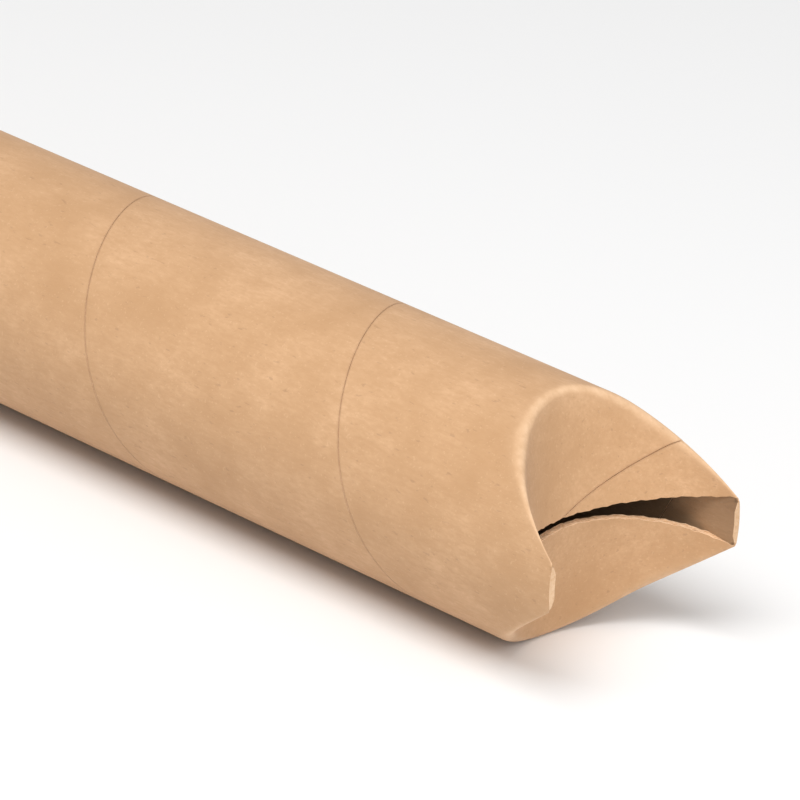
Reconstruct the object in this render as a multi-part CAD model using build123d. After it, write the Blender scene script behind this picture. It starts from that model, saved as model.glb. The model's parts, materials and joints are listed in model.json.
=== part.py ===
from build123d import *

import os
from math import asin, cos, degrees, hypot, radians, sin, tan

# Drawing tube: a spiral-wound kraft paper tube whose two ends close with pushed-in flaps.
#
# The tube lies along X on the ground plane, with its origin under the middle of its length. The wall is four
# strips of board wound on one another as helices and glued. At each end the wall carries two curved creases,
# one above and one below, each lying in a slanted plane. The board beyond a crease is a flap: pushed in, it
# turns inside out and becomes the mirror image of the wall it came from, in the crease's plane. The four flaps
# are modelled pushed in. A flap bends as it moves, so it is divided lengthwise into staves, each of which turns
# about its own stretch of the crease.

# Driving dimensions, in millimetres
BORE_DIAMETER = 50.8
LENGTH = 610.0
PLY_THICKNESS = 0.381
PLY_NAMES = ["inner_liner", "core_ply_inner", "core_ply_outer", "outer_wrap"]
SEAM_GAP = 0.6
SEAM_DEPTH_SHARE = 0.7
SEAM_LEAD_PER_RADIUS = 2.84
SEAM_FROM_RIM_PER_RADIUS = 0.83
SEAM_START_DEG = {"inner_liner": 225.0, "core_ply_inner": 110.0, "core_ply_outer": 300.0, "outer_wrap": 14.6}
CREASE_SLOPE = 1.19
CREASE_CROSSING_PER_RADIUS = 0.24
STAVES_PER_FLAP = 9
FOLD_CLEARANCE = 0.1

# Worked out from the driving dimensions
BORE_RADIUS = BORE_DIAMETER / 2
WALL = PLY_THICKNESS * len(PLY_NAMES)
RADIUS = BORE_RADIUS + WALL
HALF = LENGTH / 2
SEAM_LEAD = SEAM_LEAD_PER_RADIUS * RADIUS
SEAM_START_X = HALF - RADIUS * SEAM_FROM_RIM_PER_RADIUS
CROSSING_X = HALF + CREASE_CROSSING_PER_RADIUS * RADIUS
CORNER_DEG = degrees(asin(CREASE_CROSSING_PER_RADIUS / CREASE_SLOPE))
STAVE_DEG = (180 - 2 * CORNER_DEG) / STAVES_PER_FLAP
SLOPE_LENGTH = hypot(1, CREASE_SLOPE)
CREASE_NORMAL = Vector(1, 0, CREASE_SLOPE) / SLOPE_LENGTH
CREASE_DEPTH_X = CROSSING_X - CREASE_SLOPE * RADIUS

# The crease plane of the top flap at the +X end, as seen from the tube's axis at height 0
CREASE_PLANE = Plane(origin=(CROSSING_X, 0, 0), x_dir=(0, 1, 0), z_dir=tuple(CREASE_NORMAL))


def tube_blank(inner, outer, start_x, end_x):
    """A plain ring of board round the X axis."""
    along = Plane(origin=(start_x, 0, 0), x_dir=(0, 1, 0), z_dir=(1, 0, 0))
    ring = Circle(outer) - Circle(inner)
    return extrude(along * ring, amount=end_x - start_x)


def crease_prism(shrink, up, down):
    """The crease's ellipse, drawn in by shrink and swept straight out of its plane, up and down."""
    ellipse = Ellipse(RADIUS - shrink, SLOPE_LENGTH * RADIUS - shrink)
    lowered = CREASE_PLANE.offset(-down)
    return extrude(lowered * ellipse, amount=up + down)


def beyond_crease():
    """Everything past the crease's plane, above the mouth."""
    size = 4 * RADIUS
    block = Pos(0, 0, size / 2) * Box(2 * size, 2 * size, size)
    return CREASE_PLANE * block


def side_wall_wedge():
    """The stretch of wall between the two creases on both sides, as a slice of solid seen from the axis."""
    reach = 2 * RADIUS
    corner = reach * tan(radians(CORNER_DEG))
    outline = make_face(Polyline((0, 0), (reach, corner), (reach, -corner), close=True))
    across = Plane(origin=(0, 0, 0), x_dir=(0, 1, 0), z_dir=(1, 0, 0))
    near_side = extrude(across * outline, amount=LENGTH)
    return near_side + mirror(near_side, about=Plane.XZ)


def flap_room():
    """The space that a pushed-in flap takes out of the wall, and the hollow in front of it."""
    deep = WALL / sin(radians(CORNER_DEG))
    start_x = CREASE_DEPTH_X - deep
    below_crease = crease_prism(0, 2 * deep, 0)
    board = tube_blank(RADIUS - FOLD_CLEARANCE, RADIUS + WALL + FOLD_CLEARANCE, start_x, HALF) & below_crease
    hollow = tube_blank(0.001, RADIUS, start_x, HALF) & below_crease
    room = mirror(hollow, about=CREASE_PLANE) - side_wall_wedge()
    return [mirror(board, about=CREASE_PLANE), room]


def end_cutter():
    """What both flaps of the +X end take out of the wall."""
    top = [beyond_crease(), *flap_room()]
    bottom = [mirror(piece, about=Plane.XY) for piece in top]
    return top + bottom


def seam_cutter(radius, start_deg):
    """A narrow helical groove in a ply's outer face, where the strip's two edges meet over the glue."""
    turns = LENGTH / SEAM_LEAD + 1.4
    start_x = SEAM_START_X - SEAM_LEAD * (turns - 1)
    line = Helix(pitch=SEAM_LEAD, height=SEAM_LEAD * turns, radius=radius, direction=(0, 0, 1))
    section_plane = Plane(origin=line @ 0, x_dir=(1, 0, 0), z_dir=line % 0)
    section = section_plane * Rectangle(2 * PLY_THICKNESS * SEAM_DEPTH_SHARE, SEAM_GAP)
    groove = sweep(section, path=line, is_frenet=True)
    laid = Location((0, 0, 0), (0, 90, 0)) * groove
    turned = Rot(X=start_deg) * laid
    return Pos(start_x, 0, 0) * turned


def wound_ply(name, inner):
    """One strip of board, wound from end to end of the tube and cut to the creases."""
    outer = inner + PLY_THICKNESS
    ply = tube_blank(inner, outer, -HALF, HALF)
    for piece in end_cutter():
        ply -= piece
        ply -= mirror(piece, about=Plane.YZ)
    return ply - seam_cutter(outer, SEAM_START_DEG[name])


def stave(number):
    """One lengthwise strip of the top flap at the +X end, pushed in. Numbers run from the +Y side."""
    middle_deg = CORNER_DEG + STAVE_DEG * (number + 0.5)
    half_angle = radians(STAVE_DEG / 2)
    outer_half = RADIUS * sin(half_angle) - FOLD_CLEARANCE / 2
    inner_half = (RADIUS - WALL) * sin(half_angle) - FOLD_CLEARANCE / 2
    near, far = RADIUS * cos(half_angle) - WALL, RADIUS + WALL
    spread = (inner_half - outer_half) / WALL
    outline = Polyline(
        (near, outer_half - spread * WALL),
        (far, inner_half),
        (far, -inner_half),
        (near, spread * WALL - outer_half),
        close=True,
    )
    across = Plane(origin=(CREASE_DEPTH_X - WALL, 0, 0), x_dir=(0, 1, 0), z_dir=(1, 0, 0))
    column = extrude(across * make_face(outline), amount=HALF - CREASE_DEPTH_X + WALL)
    column = Rot(X=middle_deg) * column
    ring = tube_blank(RADIUS, RADIUS + WALL, CREASE_DEPTH_X - WALL, HALF)
    piece = ring & column & crease_prism(FOLD_CLEARANCE, 4 * RADIUS, 0)
    return mirror(piece, about=CREASE_PLANE)


def lifted(shape):
    """The shape raised so that the tube rests on the ground plane."""
    return Pos(0, 0, RADIUS) * shape


def save(shape, name):
    """One STEP file for one sub-part."""
    shape.label = name
    export_step(shape, f"parts/{name}.step")


def main():
    os.makedirs("parts", exist_ok=True)
    for layer, name in enumerate(PLY_NAMES):
        save(lifted(wound_ply(name, BORE_RADIUS + layer * PLY_THICKNESS)), name)
    for number in range(STAVES_PER_FLAP):
        top_front = stave(number)
        bottom_front = mirror(top_front, about=Plane.XY)
        label = f"stave_{number + 1:02d}"
        save(lifted(top_front), f"front_top_{label}")
        save(lifted(bottom_front), f"front_bottom_{label}")
        save(lifted(mirror(top_front, about=Plane.YZ)), f"back_top_{label}")
        save(lifted(mirror(bottom_front, about=Plane.YZ)), f"back_bottom_{label}")


main()
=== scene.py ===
import json
import math

import bpy
import numpy as np
from bpy.props import FloatProperty, FloatVectorProperty, IntProperty, PointerProperty
from mathutils import Matrix, Vector

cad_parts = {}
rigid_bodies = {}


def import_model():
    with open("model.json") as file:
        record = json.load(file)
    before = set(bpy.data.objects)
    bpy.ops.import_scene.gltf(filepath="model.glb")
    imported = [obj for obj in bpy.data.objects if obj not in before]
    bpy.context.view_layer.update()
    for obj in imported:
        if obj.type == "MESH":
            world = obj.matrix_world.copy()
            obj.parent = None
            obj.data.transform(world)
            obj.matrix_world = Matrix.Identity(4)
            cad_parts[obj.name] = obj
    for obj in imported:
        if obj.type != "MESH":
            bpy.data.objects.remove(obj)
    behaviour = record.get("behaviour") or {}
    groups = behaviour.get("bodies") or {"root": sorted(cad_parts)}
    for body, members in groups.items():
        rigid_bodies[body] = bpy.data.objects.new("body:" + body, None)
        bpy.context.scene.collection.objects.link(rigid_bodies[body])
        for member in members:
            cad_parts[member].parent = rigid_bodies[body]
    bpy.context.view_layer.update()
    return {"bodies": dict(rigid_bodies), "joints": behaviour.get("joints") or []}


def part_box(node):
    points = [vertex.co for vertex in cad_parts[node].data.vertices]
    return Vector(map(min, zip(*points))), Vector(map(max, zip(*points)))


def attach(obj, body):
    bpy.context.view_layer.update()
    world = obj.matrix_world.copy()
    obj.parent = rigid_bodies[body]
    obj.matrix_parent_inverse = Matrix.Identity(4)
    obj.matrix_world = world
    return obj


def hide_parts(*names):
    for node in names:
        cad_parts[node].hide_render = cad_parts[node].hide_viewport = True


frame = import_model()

bl_info = {
    "name": "Drawing Tube Builder",
    "version": (1, 0, 0),
    "blender": (4, 5, 0),
    "location": "3D View > Sidebar > Drawing Tube",
    "description": "Builds a wound kraft board tube with folded-in ends around its packed frame",
    "category": "Object",
}

# Sizes read from the frame, in metres
MM = 0.001
PLIES = ["outer_wrap", "core_ply_outer", "core_ply_inner", "inner_liner"]
FLAPS = {"front_top": (1, 1), "front_bottom": (1, -1), "back_top": (-1, 1), "back_bottom": (-1, -1)}
WRAP_LOW, WRAP_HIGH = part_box("outer_wrap")
RADIUS = (WRAP_HIGH.z - WRAP_LOW.z) / 2
AXIS_Z = (WRAP_HIGH.z + WRAP_LOW.z) / 2
HALF = WRAP_HIGH.x
CORE_LOW, CORE_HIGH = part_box("core_ply_outer")
PLY = RADIUS - (CORE_HIGH.z - CORE_LOW.z) / 2
STAVES = sum(1 for body in frame["bodies"] if body.startswith("front_top_stave"))
PIVOTS = {joint["child"]: Vector(joint["pos_m"]) for joint in frame["joints"]}
MIDDLE = PIVOTS[f"front_top_stave_{STAVES // 2 + 1:02d}"]
EDGE = PIVOTS["front_top_stave_01"]
SLOPE = (EDGE.x - MIDDLE.x) / (MIDDLE.z - EDGE.z)
CROSSING = MIDDLE.x + SLOPE * (MIDDLE.z - AXIS_Z)
CORNER = math.asin((CROSSING - HALF) / (SLOPE * RADIUS))
SLANT = math.hypot(1, SLOPE)
HALF_FOLD = math.atan(1 / SLOPE)
TURN = 2 * math.pi

# Rows of faces: how far before a fold they lie, in millimetres, and at which shares of the rounded stretch
APPROACH_MM = (11, 8, 5.5, 3.5, 2, 0.8)
FOLD_STEPS = (0, 0.2, 0.4, 0.6, 0.8, 1)
BENT_REACH = 12 * MM
# The rim's unevenness: waves in one turn, how far each ply shifts them, and their share of the wander
RIM_WAVES = ((37, 1.7, 0.4), (83, 1.0, 0.24), (151, 0.0, 0.2))
WELD = 0.002 * MM
FLOOR_HALF = 8.0


class BoardSizes(bpy.types.PropertyGroup):
    """Sizes of the wound board, its seams and its folds."""

    fold_radius: FloatProperty(
        name="Fold radius", description="Outside radius of the fold at the middle of a flap",
        default=1.9 * MM, unit="LENGTH")
    fold_share: FloatProperty(
        name="Fold share", description="Largest share of a flap's length that its fold may round",
        default=0.2, subtype="FACTOR")
    corner_radius: FloatProperty(
        name="Corner radius", description="Smallest outside radius of a fold, at the corners of a flap",
        default=1.0 * MM, unit="LENGTH")
    seam_gap: FloatProperty(
        name="Seam gap", description="Gap between the edges of one wound strip",
        default=0.16 * MM, unit="LENGTH")
    # Painted shade: the paper on each side of a seam is darkened to stand in for the shadow in the seam's
    # groove; this is its width
    seam_shade_width: FloatProperty(
        name="Seam darkening", description="Width of the darkened paper on each side of a seam",
        default=0.42 * MM, unit="LENGTH")
    seam_lead: FloatProperty(
        name="Seam lead", description="Distance along the tube that a seam climbs in one turn",
        default=2.84 * RADIUS, unit="LENGTH")
    seam_start: FloatProperty(
        name="Seam start", description="Where the outer seam crosses the side of the tube, from the rim",
        default=0.723 * RADIUS, unit="LENGTH")
    flap_reach: FloatProperty(
        name="Flap reach", description="How much further a flap reaches at its middle than at its corners",
        default=0.6 * MM, unit="LENGTH")
    rim_wander: FloatProperty(
        name="Rim wander", description="How unevenly the rim is cut",
        default=0.24 * MM, unit="LENGTH")
    seam_step: FloatProperty(
        name="Seam step", description="Share of a turn from one ply's seam to the next ply's",
        default=0.344, subtype="FACTOR")
    stave_columns: IntProperty(
        name="Stave columns", description="Faces across one stave of a flap", default=8)
    side_columns: IntProperty(
        name="Side columns", description="Faces across one side wall", default=12)
    wall_rows: IntProperty(
        name="Wall rows", description="Faces along the tube between its folds", default=50)
    flap_rows: IntProperty(
        name="Flap rows", description="Faces along a flap between its fold and its rim", default=8)


class BoardColours(bpy.types.PropertyGroup):
    """Colours of the paper and the board."""

    kraft: FloatVectorProperty(
        name="Kraft", description="Face of the kraft paper", subtype="COLOR", size=3,
        default=(0.66, 0.405, 0.225))
    kraft_dark: FloatVectorProperty(
        name="Dark kraft", description="Darker clouds in the kraft paper", subtype="COLOR", size=3,
        default=(0.52, 0.30, 0.150))
    fleck: FloatVectorProperty(
        name="Fleck", description="Bark flecks in the paper", subtype="COLOR", size=3,
        default=(0.30, 0.165, 0.085))
    # Pale fibres and cut-board pulp; over the folds it gives stretched paper together with a painted highlight
    # on the rounded ridge
    pale: FloatVectorProperty(
        name="Stretched paper", description="Paper stretched pale over a fold", subtype="COLOR", size=3,
        default=(0.86, 0.60, 0.385))
    board: FloatVectorProperty(
        name="Board", description="Cut edge of the board", subtype="COLOR", size=3,
        default=(0.80, 0.56, 0.37))


class StageSettings(bpy.types.PropertyGroup):
    """Camera and lights."""

    azimuth: FloatProperty(
        name="Azimuth", description="Camera's turn from the tube's axis", default=math.radians(43.9),
        subtype="ANGLE")
    elevation: FloatProperty(
        name="Elevation", description="Camera's height angle", default=math.radians(25.2), subtype="ANGLE")
    roll: FloatProperty(
        name="Roll", description="Turn of the tube about its own axis", default=math.radians(4.1),
        subtype="ANGLE")
    distance: FloatProperty(
        name="Distance", description="Camera's distance from the closed end", default=48.0 * RADIUS,
        unit="LENGTH")
    anchor: FloatProperty(
        name="Anchor", description="How far behind the creases' crossing the camera's anchor lies",
        default=1.045 * RADIUS, unit="LENGTH")
    aim_left: FloatProperty(
        name="Aim left", description="Camera's shift to the left, as a share of its distance",
        default=0.02575, subtype="FACTOR")
    aim_up: FloatProperty(
        name="Aim up", description="Camera's shift upwards, as a share of its distance",
        default=0.01849, subtype="FACTOR")
    lens: FloatProperty(
        name="Lens", description="Focal length in millimetres", default=292.5)
    key_power: FloatProperty(
        name="Key light", description="Power of the key light in watts", default=29.0)
    world_strength: FloatProperty(
        name="World strength", description="Strength of the white surroundings", default=0.40)


# ---------------------------------------------------------------- the board's shape


def crease_x(theta):
    """Where the fold crosses a lengthwise line of the board, at that angle round the tube."""
    return CROSSING - SLOPE * RADIUS * np.abs(np.sin(theta))


def end_x(theta):
    """Where the wall ends at that angle: at the fold or, on a side wall, at the rim."""
    return np.minimum(crease_x(theta), HALF)


def fold_extent(theta):
    """Half the length of a lengthwise line that the rounded fold takes up."""
    sizes = bpy.context.scene.board_sizes
    sine = np.maximum(np.abs(np.sin(theta)), math.sin(CORNER))
    across = sine ** 2 / (1 + (SLOPE * np.cos(theta)) ** 2)
    wanted = sizes.fold_radius / across
    room = sizes.fold_share * np.maximum(HALF - crease_x(theta), 0) / math.tan(HALF_FOLD) + sizes.corner_radius
    radius = (wanted ** -4 + room ** -4) ** -0.25
    return radius * math.tan(HALF_FOLD)


def fold_directions(theta):
    """Unit vectors at the fold of the front top flap: wall normal, flap normal and the inward direction."""
    sine, cosine = np.sin(theta), np.cos(theta)
    zero = np.zeros_like(theta)
    wall = np.stack([zero, cosine, sine], -1)
    plane = np.array([1, 0, SLOPE]) / SLANT
    flap = 2 * (wall @ plane)[..., None] * plane - wall
    along = np.stack([-SLOPE * cosine, -sine, cosine], -1)
    along /= np.linalg.norm(along, axis=-1, keepdims=True)
    return wall, flap, np.cross(plane, along)


def front_top_point(theta, x, depth):
    """The board's point and outward normal at an angle, a length and a depth, folded as the front top flap."""
    wall, flap, inward = fold_directions(theta)
    crease = crease_x(theta)
    extent = fold_extent(theta)
    radius = extent / math.tan(HALF_FOLD)
    beyond = x - crease
    start = np.stack([crease, RADIUS * np.cos(theta), RADIUS * np.sin(theta)], -1)
    ahead = np.array([1.0, 0.0, 0.0])
    folded = np.array([1 - 2 / SLANT ** 2, 0, -2 * SLOPE / SLANT ** 2])
    bend = HALF_FOLD * (1 + np.clip(beyond / extent, -1, 1))
    arc = (radius * np.sin(bend) - extent)[..., None] * ahead
    arc[..., 2] -= radius * (1 - np.cos(bend))
    before = np.minimum(beyond + extent, 0)[..., None] * ahead
    after = np.maximum(beyond - extent, 0)[..., None] * folded
    share = bend / (2 * HALF_FOLD)
    opening = np.arccos(np.clip((wall * flap).sum(-1), -1, 1))
    normal = wall * np.sin((1 - share) * opening)[..., None] + flap * np.sin(share * opening)[..., None]
    normal /= np.linalg.norm(normal, axis=-1, keepdims=True)
    point = start + arc + before + after - depth * normal
    # the two boards meet on the mitre behind the fold and neither passes it, and side walls stay whole
    past = ((point - start) * inward).sum(-1)
    overlap = np.where(beyond < 0, np.maximum(past, 0), np.minimum(past, 0))
    overlap *= np.clip(2 * np.abs(np.sin(theta)) / math.sin(CORNER) - 1, 0, 1)
    if depth > 0:
        point = point - overlap[..., None] * inward
    return point, normal


def board_point(theta, x, depth):
    """The board's point and outward normal, with all four flaps pushed in, at any angle and length."""
    side_x = np.where(x < 0, -1.0, 1.0)
    side_z = np.where(np.sin(theta) < 0, -1.0, 1.0)
    turned = np.where(side_z > 0, theta, -theta)
    point, normal = front_top_point(turned, np.abs(x), depth)
    flips = np.stack([side_x, np.ones_like(theta), side_z], -1)
    point, normal = point * flips, normal * flips
    plain_normal = np.stack([np.zeros_like(theta), np.cos(theta), np.sin(theta)], -1)
    plain_point = (RADIUS - depth) * plain_normal
    plain_point[..., 0] = x
    bent = (np.abs(x) > end_x(theta) - BENT_REACH)[..., None]
    point = np.where(bent, point, plain_point)
    normal = np.where(bent, normal, plain_normal)
    point[..., 2] += AXIS_Z
    return point, normal


# ---------------------------------------------------------------- meshes of wound strips


def seam_x(theta, layer, turn):
    """Where one layer's seam lies at an angle, on its given turn."""
    sizes = bpy.context.scene.board_sizes
    shift = (turn + layer * sizes.seam_step) * sizes.seam_lead
    return HALF - sizes.seam_start + shift + sizes.seam_lead * theta / TURN


class Shell:
    """Collects the faces of closed shells and makes one mesh of them."""

    def __init__(self):
        self.points, self.normals, self.faces, self.kinds = [], [], [], []
        self.marks = {"fold": [], "seam": []}

    def add_grid(self, theta, x, depth, fold, seam):
        """Adds a grid of board points and returns their numbers."""
        point, normal = board_point(theta, x, depth)
        first = len(self.points)
        self.points.extend(point.reshape(-1, 3))
        self.normals.extend(normal.reshape(-1, 3))
        self.marks["fold"].extend(fold.reshape(-1))
        self.marks["seam"].extend(seam.reshape(-1))
        return first + np.arange(theta.size).reshape(theta.shape)

    def add_quads(self, a, b, c, d, kind):
        """Adds one face for each place in four arrays of point numbers."""
        quads = np.stack([a, b, c, d], -1).reshape(-1, 4)
        self.faces.extend(quads.tolist())
        self.kinds.extend([kind] * len(quads))

    def add_strip(self, theta, x, outer, inner, fold, seam, ring):
        """Adds one closed shell between two depths. A ring joins its last column to its first."""
        top = self.add_grid(theta, x, outer, fold, seam)
        under = self.add_grid(theta, x, inner, fold, seam)
        self.add_quads(top[:-1, :-1], top[1:, :-1], top[1:, 1:], top[:-1, 1:], 0)
        self.add_quads(under[:-1, 1:], under[1:, 1:], under[1:, :-1], under[:-1, :-1], 1)
        self.add_quads(top[1:, 0], top[:-1, 0], under[:-1, 0], under[1:, 0], 2)
        self.add_quads(top[:-1, -1], top[1:, -1], under[1:, -1], under[:-1, -1], 2)
        if not ring:
            self.add_quads(top[0, :-1], top[0, 1:], under[0, 1:], under[0, :-1], 2)
            self.add_quads(top[-1, 1:], top[-1, :-1], under[-1, :-1], under[-1, 1:], 2)

    def make(self, name, materials):
        """Welds the points, drops empty faces and makes the object."""
        points = np.array(self.points)
        keys = np.round(points / WELD).astype(np.int64)
        _, first, number = np.unique(keys, axis=0, return_index=True, return_inverse=True)
        number = number.reshape(-1)
        faces, kinds, corners = [], [], []
        seen = set()
        for face, kind in zip(self.faces, self.kinds):
            ring, source = [], []
            for corner in face:
                welded = int(number[corner])
                if welded not in ring:
                    ring.append(welded)
                    source.append(corner)
            key = tuple(sorted(ring))
            if len(ring) < 3 or (kind == 2 and key in seen):
                continue
            seen.add(key)
            faces.append(ring)
            kinds.append(kind)
            corners.extend((corner, kind) for corner in source)
        used = np.unique(np.concatenate([np.array(face) for face in faces]))
        lookup = dict(zip(used.tolist(), range(len(used))))
        mesh = bpy.data.meshes.new(name)
        welded_faces = [[lookup[corner] for corner in face] for face in faces]
        mesh.from_pydata(points[first[used]].tolist(), [], welded_faces)
        for material in materials:
            mesh.materials.append(material)
        slots = [min(kind, len(materials) - 1) for kind in kinds]
        mesh.polygons.foreach_set("material_index", slots)
        mesh.shade_smooth()
        for mark, values in self.marks.items():
            attribute = mesh.attributes.new(mark, "FLOAT", "POINT")
            attribute.data.foreach_set("value", np.array(values)[first[used]].astype(np.float32))
        mesh.polygons.foreach_set("use_smooth", [kind != 2 for kind in kinds])
        signs = {0: 1.0, 1: -1.0, 2: 0.0}
        normals = [tuple(np.array(self.normals[corner]) * signs[kind]) for corner, kind in corners]
        mesh.normals_split_custom_set(normals)
        obj = bpy.data.objects.new(name, mesh)
        bpy.context.scene.collection.objects.link(obj)
        return obj


def wall_columns():
    """Angles round the tube that fall on every stave's edge and every corner."""
    sizes = bpy.context.scene.board_sizes
    per_flap = STAVES * sizes.stave_columns
    flap = np.linspace(CORNER, math.pi - CORNER, per_flap + 1)
    side = np.linspace(-CORNER, CORNER, sizes.side_columns + 1)[1:-1]
    return np.concatenate([flap, math.pi + side, math.pi + flap, TURN + side, [TURN + CORNER]])


def rim_x(theta, layer):
    """Where the cut rim lies at an angle on one layer, on the flat board."""
    sizes = bpy.context.scene.board_sizes
    across = np.clip((np.abs(np.sin(theta)) - math.sin(CORNER)) / (1 - math.sin(CORNER)), 0, 1)
    waves = sum(share * np.sin(count * theta + shift * layer) for count, shift, share in RIM_WAVES)
    return HALF + sizes.flap_reach * across + sizes.rim_wander * waves * (across > 0)


def wall_rows(theta):
    """Lengths of the wall's rows at each angle, closer together at the folds."""
    end = end_x(theta)
    extent = fold_extent(theta)
    near = [end - extent - extra * MM for extra in APPROACH_MM]
    near += [end - extent * share for share in reversed(FOLD_STEPS)]
    count = bpy.context.scene.board_sizes.wall_rows
    middle = [near[0] * share for share in np.linspace(-1, 1, count + 1)]
    return np.stack([-x for x in reversed(near)] + middle[1:-1] + near, -1)


def flap_rows(theta, layer):
    """Lengths of a front flap's rows at each angle, from its fold to its rim."""
    crease, extent = crease_x(theta), fold_extent(theta)
    rim = rim_x(theta, layer)
    rounded = np.minimum(extent, 0.7 * (rim - crease))
    rows = [crease + rounded * share for share in FOLD_STEPS]
    rest = rim - rows[-1]
    count = bpy.context.scene.board_sizes.flap_rows
    rows += [rows[-1] + rest * share for share in np.linspace(0, 1, count + 1)[1:]]
    return np.stack(rows, -1)


def fold_share_at(theta, x):
    """How close each point lies to a fold, from 0 to 1."""
    away = (np.abs(x) - crease_x(theta)) / fold_extent(theta)
    return np.exp(-(away / 0.8) ** 2)


def add_wound_layer(shell, theta, rows, layer, ring):
    """Adds one layer of the board over a patch, cut into strips at its seams."""
    sizes = bpy.context.scene.board_sizes
    columns = np.repeat(theta[:, None], rows.shape[1], axis=1)
    low, high = rows.min(), rows.max()
    for turn in range(-12, 3):
        start = seam_x(columns, layer, turn) + sizes.seam_gap / 2
        stop = seam_x(columns, layer, turn + 1) - sizes.seam_gap / 2
        if stop.max() <= low or start.min() >= high:
            continue
        near = [start[:, :1] + sizes.seam_shade_width, stop[:, :1] - sizes.seam_shade_width]
        x = np.sort(np.concatenate([rows, *near], axis=1), axis=1)
        start, stop = start[:, :1], stop[:, :1]
        x = np.clip(x, np.maximum(start, rows[:, :1]), np.minimum(stop, rows[:, -1:]))
        x = np.clip(x, rows[:, :1], rows[:, -1:])
        if np.ptp(x, axis=1).max() < 1e-6:
            continue
        keep = [0] + [j for j in range(1, x.shape[1]) if np.abs(x[:, j] - x[:, j - 1]).max() > 1e-7]
        x = x[:, keep]
        angle = np.repeat(theta[:, None], x.shape[1], axis=1)
        fold = fold_share_at(angle, x)
        # painted shade beside the seam: 1 at the strip's cut edge, fading to 0 across the shade width
        seam = 1 - np.clip(np.minimum(x - start, stop - x) / sizes.seam_shade_width, 0, 1)
        shell.add_strip(angle, x, layer * PLY, (layer + 1) * PLY, fold, seam, ring)


# ---------------------------------------------------------------- finishes


class Nodes:
    """Adds nodes to a material's tree."""

    def __init__(self, material):
        material.use_nodes = True
        self.tree = material.node_tree
        self.tree.nodes.clear()

    def add(self, kind, inputs=None, **settings):
        """Adds a node, sets its settings and fills or links its inputs."""
        node = self.tree.nodes.new(kind)
        for name, value in settings.items():
            setattr(node, name, value)
        for name, value in (inputs or {}).items():
            if isinstance(value, bpy.types.NodeSocket):
                self.tree.links.new(value, node.inputs[name])
            else:
                node.inputs[name].default_value = value
        return node


def noise(nodes, vector, scale, detail=3.0, roughness=0.55):
    """A noise field from 0 to 1."""
    node = nodes.add("ShaderNodeTexNoise", {
        "Vector": vector, "Scale": scale, "Detail": detail, "Roughness": roughness})
    return node.outputs["Fac"]


def remap(nodes, value, low, high, to_low=0.0, to_high=1.0):
    """Stretches a value between two limits onto two others."""
    node = nodes.add("ShaderNodeMapRange", {
        "Value": value, "From Min": low, "From Max": high, "To Min": to_low, "To Max": to_high})
    return node.outputs["Result"]


def mix(nodes, share, first, second):
    """Mixes two colours."""
    node = nodes.add("ShaderNodeMix", data_type="RGBA")
    for socket, value in ((node.inputs[0], share), (node.inputs[6], first), (node.inputs[7], second)):
        if isinstance(value, bpy.types.NodeSocket):
            nodes.tree.links.new(value, socket)
        else:
            socket.default_value = value
    return node.outputs[2]


def colour(values):
    """A colour with full alpha."""
    return (*values, 1.0)


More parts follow.
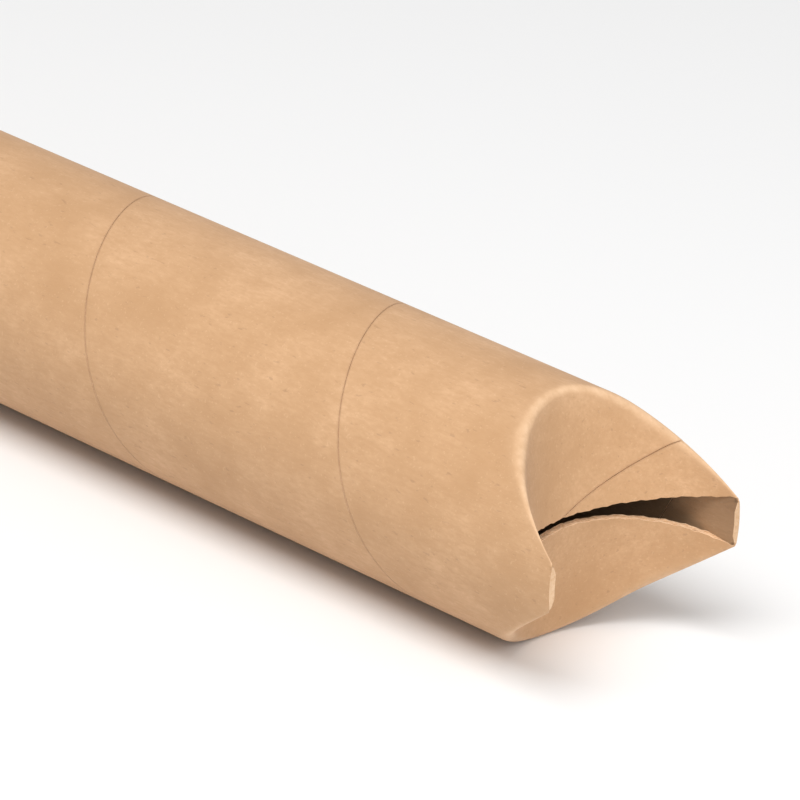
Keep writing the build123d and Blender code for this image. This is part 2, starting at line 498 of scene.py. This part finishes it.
def kraft_material(name, brightness=1.0, fuzz=0.0):
    """Unbleached kraft paper: cloudy tan, bark flecks, pale fibres, pale folds that are partly stretched paper
    and partly a painted highlight, and painted shade beside the seams.
    """
    colours = bpy.context.scene.board_colours
    material = bpy.data.materials.new(name)
    nodes = Nodes(material)
    place = nodes.add("ShaderNodeTexCoord").outputs["Object"]
    drawn = nodes.add("ShaderNodeMapping", {"Vector": place, "Scale": (0.35, 1.0, 1.0)}).outputs["Vector"]
    clouds = remap(nodes, noise(nodes, place, 70.0, 4.0), 0.3, 0.7)
    base = mix(nodes, clouds, colour(colours.kraft_dark), colour(colours.kraft))
    grain = remap(nodes, noise(nodes, drawn, 1400.0, 3.0, 0.65), 0.36, 0.66)
    base = mix(nodes, remap(nodes, grain, 0, 1, 0.5, 0.0), base, colour(colours.kraft_dark))
    mottle = remap(nodes, noise(nodes, drawn, 380.0, 2.0, 0.6), 0.4, 0.68, 0.0, 0.5)
    base = mix(nodes, mottle, base, colour(colours.kraft_dark))
    flecks = remap(nodes, noise(nodes, drawn, 1150.0, 2.0, 0.5), 0.665, 0.74)
    base = mix(nodes, remap(nodes, flecks, 0, 1, 0.0, 0.3), base, colour(colours.fleck))
    strands = remap(nodes, noise(nodes, place, 1700.0, 2.0, 0.4), 0.64, 0.72)
    base = mix(nodes, remap(nodes, strands, 0, 1, 0.0, 0.16), base, colour(colours.pale))
    # Pale folds: partly stretched, cracked paper and partly a painted highlight where light catches the
    # rounded ridge
    fold = nodes.add("ShaderNodeAttribute", attribute_name="fold").outputs["Fac"]
    cracks = remap(nodes, noise(nodes, place, 420.0, 4.0), 0.25, 0.7, 0.35, 1.0)
    fold_stretch_and_highlight = nodes.add("ShaderNodeMath", {0: fold, 1: cracks}, operation="MULTIPLY").outputs[0]
    base = mix(nodes, remap(nodes, fold_stretch_and_highlight, 0, 1, fuzz, 0.62), base, colour(colours.pale))
    # Painted shade: paper beside each seam is mixed towards the fleck colour to stand in for the shadow in the
    # seam's groove
    seam = nodes.add("ShaderNodeAttribute", attribute_name="seam").outputs["Fac"]
    base = mix(nodes, remap(nodes, seam, 0, 1, 0.0, 0.4), base, colour(colours.fleck))
    shade = nodes.add("ShaderNodeHueSaturation", {"Color": base, "Value": brightness}).outputs["Color"]
    rough = remap(nodes, grain, 0, 1, 0.86, 0.68)
    height = nodes.add("ShaderNodeMath", {0: grain, 1: clouds}, operation="ADD").outputs[0]
    bump = nodes.add("ShaderNodeBump", {"Height": height, "Strength": 0.22, "Distance": 0.00012})
    shader = nodes.add("ShaderNodeBsdfPrincipled", {
        "Base Color": shade, "Roughness": rough, "Normal": bump.outputs["Normal"],
        "Specular IOR Level": 0.28, "Sheen Weight": 0.08, "Sheen Roughness": 0.6})
    nodes.add("ShaderNodeOutputMaterial", {"Surface": shader.outputs["BSDF"]})
    return material


def board_edge_material(name):
    """The torn, pale cut edge of laminated board."""
    colours = bpy.context.scene.board_colours
    material = bpy.data.materials.new(name)
    nodes = Nodes(material)
    place = nodes.add("ShaderNodeTexCoord").outputs["Object"]
    torn = noise(nodes, place, 1500.0, 5.0, 0.7)
    pulp = noise(nodes, place, 300.0, 3.0)
    base = mix(nodes, remap(nodes, torn, 0.35, 0.7), colour(colours.kraft), colour(colours.board))
    base = mix(nodes, remap(nodes, pulp, 0.45, 0.75, 0.0, 0.7), base, colour(colours.pale))
    bump = nodes.add("ShaderNodeBump", {"Height": torn, "Strength": 0.6, "Distance": 0.0003})
    shader = nodes.add("ShaderNodeBsdfPrincipled", {
        "Base Color": base, "Roughness": 0.92, "Normal": bump.outputs["Normal"],
        "Specular IOR Level": 0.15})
    nodes.add("ShaderNodeOutputMaterial", {"Surface": shader.outputs["BSDF"]})
    return material


def finish(name):
    """The named finish, made on first use."""
    makers = {
        "kraft": lambda: kraft_material("kraft"),
        "board": lambda: kraft_material("board", 0.82),
        "liner": lambda: kraft_material("liner", 0.6),
        "cut_edge": lambda: board_edge_material("cut_edge"),
    }
    return bpy.data.materials.get(name) or makers[name]()


# ---------------------------------------------------------------- pieces


class TUBE_OT_wall(bpy.types.Operator):
    """Winds the four plies of the tube's wall"""

    bl_idname = "tube.wall"
    bl_label = "Wall plies"

    def execute(self, context):
        theta = wall_columns()
        rows = wall_rows(theta)
        faces = {"outer_wrap": "kraft", "inner_liner": "liner"}
        for layer, node in enumerate(PLIES):
            shell = Shell()
            add_wound_layer(shell, theta, rows, layer, True)
            face = faces.get(node, "board")
            piece = shell.make(f"{node}_paper", [finish(face), finish(face), finish("cut_edge")])
            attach(piece, "tube")
            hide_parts(node)
        return {"FINISHED"}


class TUBE_OT_flaps(bpy.types.Operator):
    """Folds the staves of the four flaps in"""

    bl_idname = "tube.flaps"
    bl_label = "Flaps"

    def execute(self, context):
        for flap, (side_x, side_z) in FLAPS.items():
            for number in range(STAVES):
                self.make_stave(flap, side_x, side_z, number)
        return {"FINISHED"}

    def make_stave(self, flap, side_x, side_z, number):
        """Makes one stave with all its plies."""
        width = (math.pi - 2 * CORNER) / STAVES
        first = CORNER + width * number
        theta = np.linspace(first, first + width, bpy.context.scene.board_sizes.stave_columns + 1)
        if side_z < 0:
            theta = -theta[::-1]
        shell = Shell()
        for layer in range(len(PLIES)):
            rows = flap_rows(theta, layer)
            if side_x < 0:
                rows = -rows[:, ::-1]
            add_wound_layer(shell, theta, rows, layer, False)
        body = f"{flap}_stave_{number + 1:02d}"
        piece = shell.make(f"{body}_paper", [finish("kraft"), finish("liner"), finish("cut_edge")])
        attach(piece, body)
        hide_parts(body)


class TUBE_OT_stage(bpy.types.Operator):
    """Sets the floor, the lights and the camera"""

    bl_idname = "tube.stage"
    bl_label = "Stage"

    def execute(self, context):
        self.make_floor()
        self.make_lights(context)
        self.make_camera(context)
        return {"FINISHED"}

    def make_floor(self):
        """A wide, plain pale floor."""
        size = FLOOR_HALF
        mesh = bpy.data.meshes.new("floor")
        corners = [(-size, -size, 0), (size, -size, 0), (size, size, 0), (-size, size, 0)]
        mesh.from_pydata(corners, [], [(0, 1, 2, 3)])
        material = bpy.data.materials.new("floor_paper")
        nodes = Nodes(material)
        shader = nodes.add("ShaderNodeBsdfPrincipled", {
            "Base Color": (0.86, 0.86, 0.86, 1), "Roughness": 0.9, "Specular IOR Level": 0.1})
        nodes.add("ShaderNodeOutputMaterial", {"Surface": shader.outputs["BSDF"]})
        mesh.materials.append(material)
        floor = bpy.data.objects.new("floor", mesh)
        bpy.context.scene.collection.objects.link(floor)

    def make_lights(self, context):
        """A large soft key light, a weak fill and white surroundings."""
        stage = context.scene.stage_settings
        target = Vector((HALF, 0, AXIS_Z))
        for name, offset, size, power in (
                ("key", (0.2, -0.75, 1.7), 1.2, stage.key_power),
                ("fill", (1.6, -0.5, 1.0), 1.4, stage.key_power * 0.5)):
            light = bpy.data.lights.new(name, "AREA")
            light.size = size
            light.energy = power
            lamp = bpy.data.objects.new(name, light)
            lamp.location = target + Vector(offset)
            lamp.rotation_euler = (-Vector(offset)).to_track_quat("-Z", "Y").to_euler()
            context.scene.collection.objects.link(lamp)
        world = context.scene.world or bpy.data.worlds.new("studio")
        context.scene.world = world
        world.use_nodes = True
        background = world.node_tree.nodes["Background"]
        background.inputs["Color"].default_value = (1, 1, 1, 1)
        background.inputs["Strength"].default_value = stage.world_strength

    def make_camera(self, context):
        """A long lens that looks down on the front closed end."""
        stage = context.scene.stage_settings
        sin_a, cos_a = math.sin(stage.azimuth), math.cos(stage.azimuth)
        sin_e, cos_e = math.sin(stage.elevation), math.cos(stage.elevation)
        back = Vector((cos_e * cos_a, -cos_e * sin_a, sin_e))
        right = Vector((sin_a, cos_a, 0))
        up = Vector((-sin_e * cos_a, sin_e * sin_a, cos_e))
        turn = Matrix.Rotation(stage.roll, 3, "X")
        back, right, up = turn @ back, turn @ right, turn @ up
        anchor = Vector((CROSSING - stage.anchor, 0, AXIS_Z))
        place = anchor + stage.distance * (back - stage.aim_left * right + stage.aim_up * up)
        camera = bpy.data.cameras.new("camera")
        camera.lens = stage.lens
        camera.sensor_width = 36.0
        camera.clip_end = 50.0
        seat = bpy.data.objects.new("camera", camera)
        axes = Matrix((right, up, back)).transposed().to_4x4()
        seat.matrix_world = Matrix.Translation(place) @ axes
        context.scene.collection.objects.link(seat)
        context.scene.camera = seat
        context.scene.view_settings.view_transform = "Standard"


OPERATORS = (TUBE_OT_stage, TUBE_OT_wall, TUBE_OT_flaps)


class TUBE_PT_panel(bpy.types.Panel):
    """Lists the tube's sizes, colours and pieces"""

    bl_idname = "TUBE_PT_panel"
    bl_label = "Drawing Tube"
    bl_space_type = "VIEW_3D"
    bl_region_type = "UI"
    bl_category = "Drawing Tube"

    def draw(self, context):
        for group in (context.scene.board_sizes, context.scene.board_colours, context.scene.stage_settings):
            for name in group.__annotations__:
                self.layout.prop(group, name)
        for operator in OPERATORS:
            self.layout.operator(operator.bl_idname)


CLASSES = (BoardSizes, BoardColours, StageSettings, *OPERATORS, TUBE_PT_panel)


def register():
    for cls in CLASSES:
        bpy.utils.register_class(cls)
    bpy.types.Scene.board_sizes = PointerProperty(type=BoardSizes)
    bpy.types.Scene.board_colours = PointerProperty(type=BoardColours)
    bpy.types.Scene.stage_settings = PointerProperty(type=StageSettings)


def unregister():
    del bpy.types.Scene.stage_settings
    del bpy.types.Scene.board_colours
    del bpy.types.Scene.board_sizes
    for cls in reversed(CLASSES):
        bpy.utils.unregister_class(cls)


def main():
    register()
    bpy.ops.tube.stage()
    bpy.ops.tube.wall()
    bpy.ops.tube.flaps()


if __name__ == "__main__":
    main()
